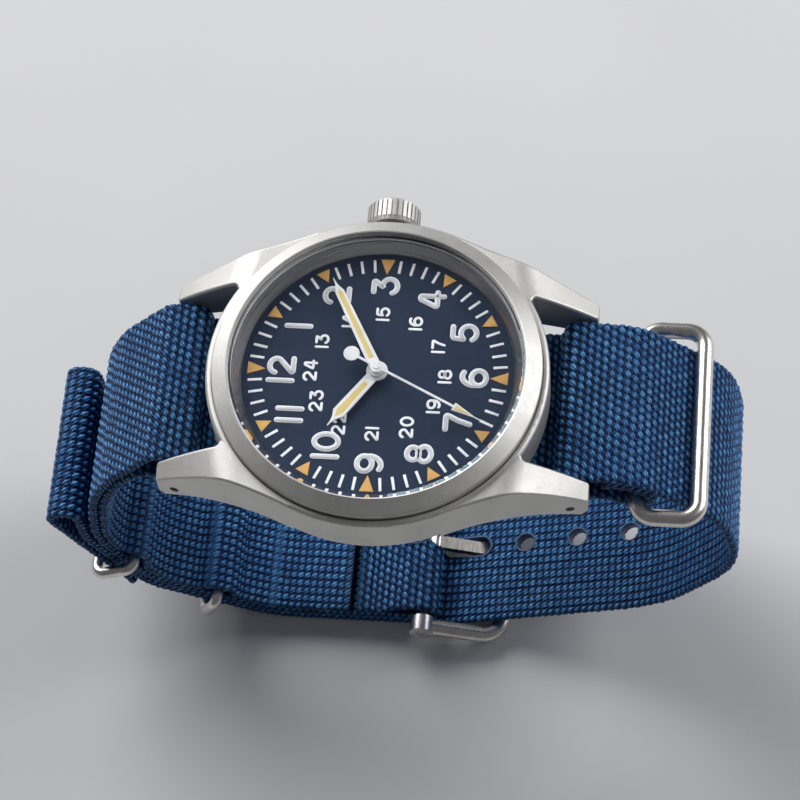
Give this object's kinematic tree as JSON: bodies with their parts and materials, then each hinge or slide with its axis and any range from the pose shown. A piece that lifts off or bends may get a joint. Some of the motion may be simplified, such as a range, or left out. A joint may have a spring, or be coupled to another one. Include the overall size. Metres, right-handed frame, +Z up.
{
  "type": "wristwatch",
  "caption": "Round steel field watch with curved lugs, 24-hour dial, three hands and fluted crown on a closed woven pass-through strap.",
  "frame": {"origin": "on the strap's flat lowest face, straight below the hands' axis", "axes": "+Z up out of the dial, +Y towards 12 o'clock, +X towards 3 o'clock and the crown"},
  "size_m": [0.0411, 0.0797, 0.0498],
  "materials": {
    "blasted_steel": "matte",
    "polished_steel": "gloss",
    "steel_parts": "satin",
    "mineral_crystal": "gloss",
    "clear_nylon": "satin",
    "satin_ring": "satin",
    "black_rubber": "matte",
    "navy_dial": "matte",
    "brass_parts": "satin",
    "white_hands": "satin",
    "cream_lume": "matte",
    "yellow_lume": "matte",
    "plated_bridge": "satin",
    "white_plastic": "matte",
    "circuit_film": "satin",
    "black_plastic": "satin",
    "copper_winding": "satin",
    "cell_steel": "satin",
    "magnet": "satin",
    "nylon_webbing": "woven"
  },
  "bodies": {
    "watch": {"case_middle": "blasted_steel", "bezel": "blasted_steel", "case_back": "blasted_steel", "crown_tube": "steel_parts", "crystal": "mineral_crystal", "crystal_gasket": "clear_nylon", "chapter_ring": "satin_ring", "case_back_gasket": "black_rubber", "dial": "navy_dial", "dial_washer": "brass_parts", "main_plate": "brass_parts", "train_bridge": "plated_bridge", "movement_screws": "steel_parts", "movement_holder": "white_plastic", "circuit_board": "circuit_film", "quartz_can": "plated_bridge", "control_chip": "black_plastic", "stator": "steel_parts", "coil_core": "steel_parts", "coil": "copper_winding", "battery": "cell_steel", "battery_clamp": "steel_parts", "spring_bar_tubes": "steel_parts", "spring_bar_springs": "steel_parts", "main_strap": "nylon_webbing", "under_strap": "nylon_webbing", "buckle_frame": "polished_steel", "buckle_bar": "polished_steel"},
    "second_hand": {"second_hand": "white_hands", "second_hand_lume": "yellow_lume", "second_wheel": "brass_parts"},
    "minute_hand": {"minute_hand": "white_hands", "minute_hand_lume": "cream_lume", "cannon_pinion": "steel_parts", "center_wheel": "brass_parts"},
    "hour_hand": {"hour_hand": "white_hands", "hour_hand_lume": "cream_lume", "hour_wheel": "brass_parts"},
    "rotor": {"rotor_magnet": "magnet", "rotor_pinion": "white_plastic"},
    "fifth_wheel": {"fifth_wheel": "white_plastic"},
    "third_wheel": {"third_wheel": "brass_parts"},
    "minute_wheel": {"minute_wheel": "brass_parts"},
    "setting_wheel": {"setting_wheel": "brass_parts"},
    "yoke": {"yoke": "steel_parts"},
    "sliding_pinion": {"sliding_pinion": "steel_parts"},
    "crown": {"crown": "blasted_steel", "crown_gasket": "black_rubber", "stem": "steel_parts"},
    "setting_lever": {"setting_lever": "steel_parts"},
    "spring_pin_12_left": {"spring_pin_12_left": "steel_parts"},
    "spring_pin_12_right": {"spring_pin_12_right": "steel_parts"},
    "spring_pin_6_left": {"spring_pin_6_left": "steel_parts"},
    "spring_pin_6_right": {"spring_pin_6_right": "steel_parts"},
    "buckle_tongue": {"buckle_tongue": "polished_steel"},
    "retaining_ring": {"retaining_ring": "polished_steel"},
    "keeper_lower": {"keeper_lower": "polished_steel"},
    "keeper_upper": {"keeper_upper": "polished_steel"}
  },
  "joints": [
    {"name": "second_hand_turn", "type": "hinge", "parent": "watch", "child": "second_hand", "pos_m": [0, 0, 0.047], "axis": [0, 0, -1], "continuous": true},
    {"name": "minute_hand_turn", "type": "hinge", "parent": "watch", "child": "minute_hand", "pos_m": [0, 0, 0.047], "axis": [0, 0, -1], "continuous": true},
    {"name": "hour_hand_turn", "type": "hinge", "parent": "watch", "child": "hour_hand", "pos_m": [0, 0, 0.047], "axis": [0, 0, -1], "continuous": true},
    {"name": "rotor_turn", "type": "hinge", "parent": "watch", "child": "rotor", "pos_m": [0.0016, 0.00599, 0.047], "axis": [0, 0, -1], "continuous": true},
    {"name": "fifth_wheel_turn", "type": "hinge", "parent": "watch", "child": "fifth_wheel", "pos_m": [0.00091, 0.00338, 0.047], "axis": [0, 0, -1], "continuous": true},
    {"name": "third_wheel_turn", "type": "hinge", "parent": "watch", "child": "third_wheel", "pos_m": [-0.00195, -0.00279, 0.047], "axis": [0, 0, -1], "continuous": true},
    {"name": "minute_wheel_turn", "type": "hinge", "parent": "watch", "child": "minute_wheel", "pos_m": [0.00236, -0.00165, 0.047], "axis": [0, 0, -1], "continuous": true},
    {"name": "setting_wheel_turn", "type": "hinge", "parent": "watch", "child": "setting_wheel", "pos_m": [0.00515, 0, 0.047], "axis": [0, 0, -1], "continuous": true},
    {"name": "yoke_shift", "type": "slide", "parent": "watch", "child": "yoke", "axis": [1, 0, 0], "range_m": [-0.0004, 0]},
    {"name": "crown_turn", "type": "hinge", "parent": "yoke", "child": "sliding_pinion", "pos_m": [0, 0, 0.04505], "axis": [1, 0, 0], "continuous": true},
    {"name": "crown_pull", "type": "slide", "parent": "sliding_pinion", "child": "crown", "axis": [1, 0, 0], "range_m": [0, 0.0014]},
    {"name": "setting_lever_swing", "type": "hinge", "parent": "watch", "child": "setting_lever", "pos_m": [0.011, 0.0046, 0.047], "axis": [0, 0, 1], "range_deg": [0, 14.29]},
    {"name": "spring_pin_12_left_press", "type": "slide", "parent": "watch", "child": "spring_pin_12_left", "axis": [1, 0, 0], "range_m": [0, 0.0009], "stiffness_N_per_m": 400, "springref_m": -0.0005, "deforming": ["spring_bar_springs"]},
    {"name": "spring_pin_12_right_press", "type": "slide", "parent": "watch", "child": "spring_pin_12_right", "axis": [-1, 0, 0], "range_m": [0, 0.0009], "stiffness_N_per_m": 400, "springref_m": -0.0005, "deforming": ["spring_bar_springs"]},
    {"name": "spring_pin_6_left_press", "type": "slide", "parent": "watch", "child": "spring_pin_6_left", "axis": [1, 0, 0], "range_m": [0, 0.0009], "stiffness_N_per_m": 400, "springref_m": -0.0005, "deforming": ["spring_bar_springs"]},
    {"name": "spring_pin_6_right_press", "type": "slide", "parent": "watch", "child": "spring_pin_6_right", "axis": [-1, 0, 0], "range_m": [0, 0.0009], "stiffness_N_per_m": 400, "springref_m": -0.0005, "deforming": ["spring_bar_springs"]},
    {"name": "tongue_swing", "type": "hinge", "parent": "watch", "child": "buckle_tongue", "pos_m": [0, -0.0035, 0.0033], "axis": [1, 0, 0], "range_deg": [0, 10]},
    {"name": "retaining_ring_tilt", "type": "hinge", "parent": "watch", "child": "retaining_ring", "pos_m": [0, -0.02873, 0.03831], "axis": [1, 0, 0], "range_deg": [-8, 0.5]},
    {"name": "keeper_lower_tilt", "type": "hinge", "parent": "watch", "child": "keeper_lower", "pos_m": [0, 0.0211, 0.00658], "axis": [1, 0, 0], "range_deg": [-6, 6]},
    {"name": "keeper_upper_tilt", "type": "hinge", "parent": "watch", "child": "keeper_upper", "pos_m": [0, 0.03006, 0.01528], "axis": [1, 0, 0], "range_deg": [-6, 6]}
  ],
  "couplings": [
    {"joint": "minute_hand_turn", "follows": "second_hand_turn", "ratio": 0.016667},
    {"joint": "hour_hand_turn", "follows": "second_hand_turn", "ratio": 0.0013889},
    {"joint": "third_wheel_turn", "follows": "second_hand_turn", "ratio": -0.13333},
    {"joint": "fifth_wheel_turn", "follows": "second_hand_turn", "ratio": -6},
    {"joint": "rotor_turn", "follows": "second_hand_turn", "ratio": 30},
    {"joint": "minute_wheel_turn", "follows": "second_hand_turn", "ratio": -0.0055556},
    {"joint": "setting_wheel_turn", "follows": "second_hand_turn", "ratio": 0.011111},
    {"joint": "yoke_shift", "follows": "crown_pull", "ratio": -0.28571},
    {"joint": "setting_lever_swing", "follows": "crown_pull", "rad_per_m": 178.21}
  ]
}
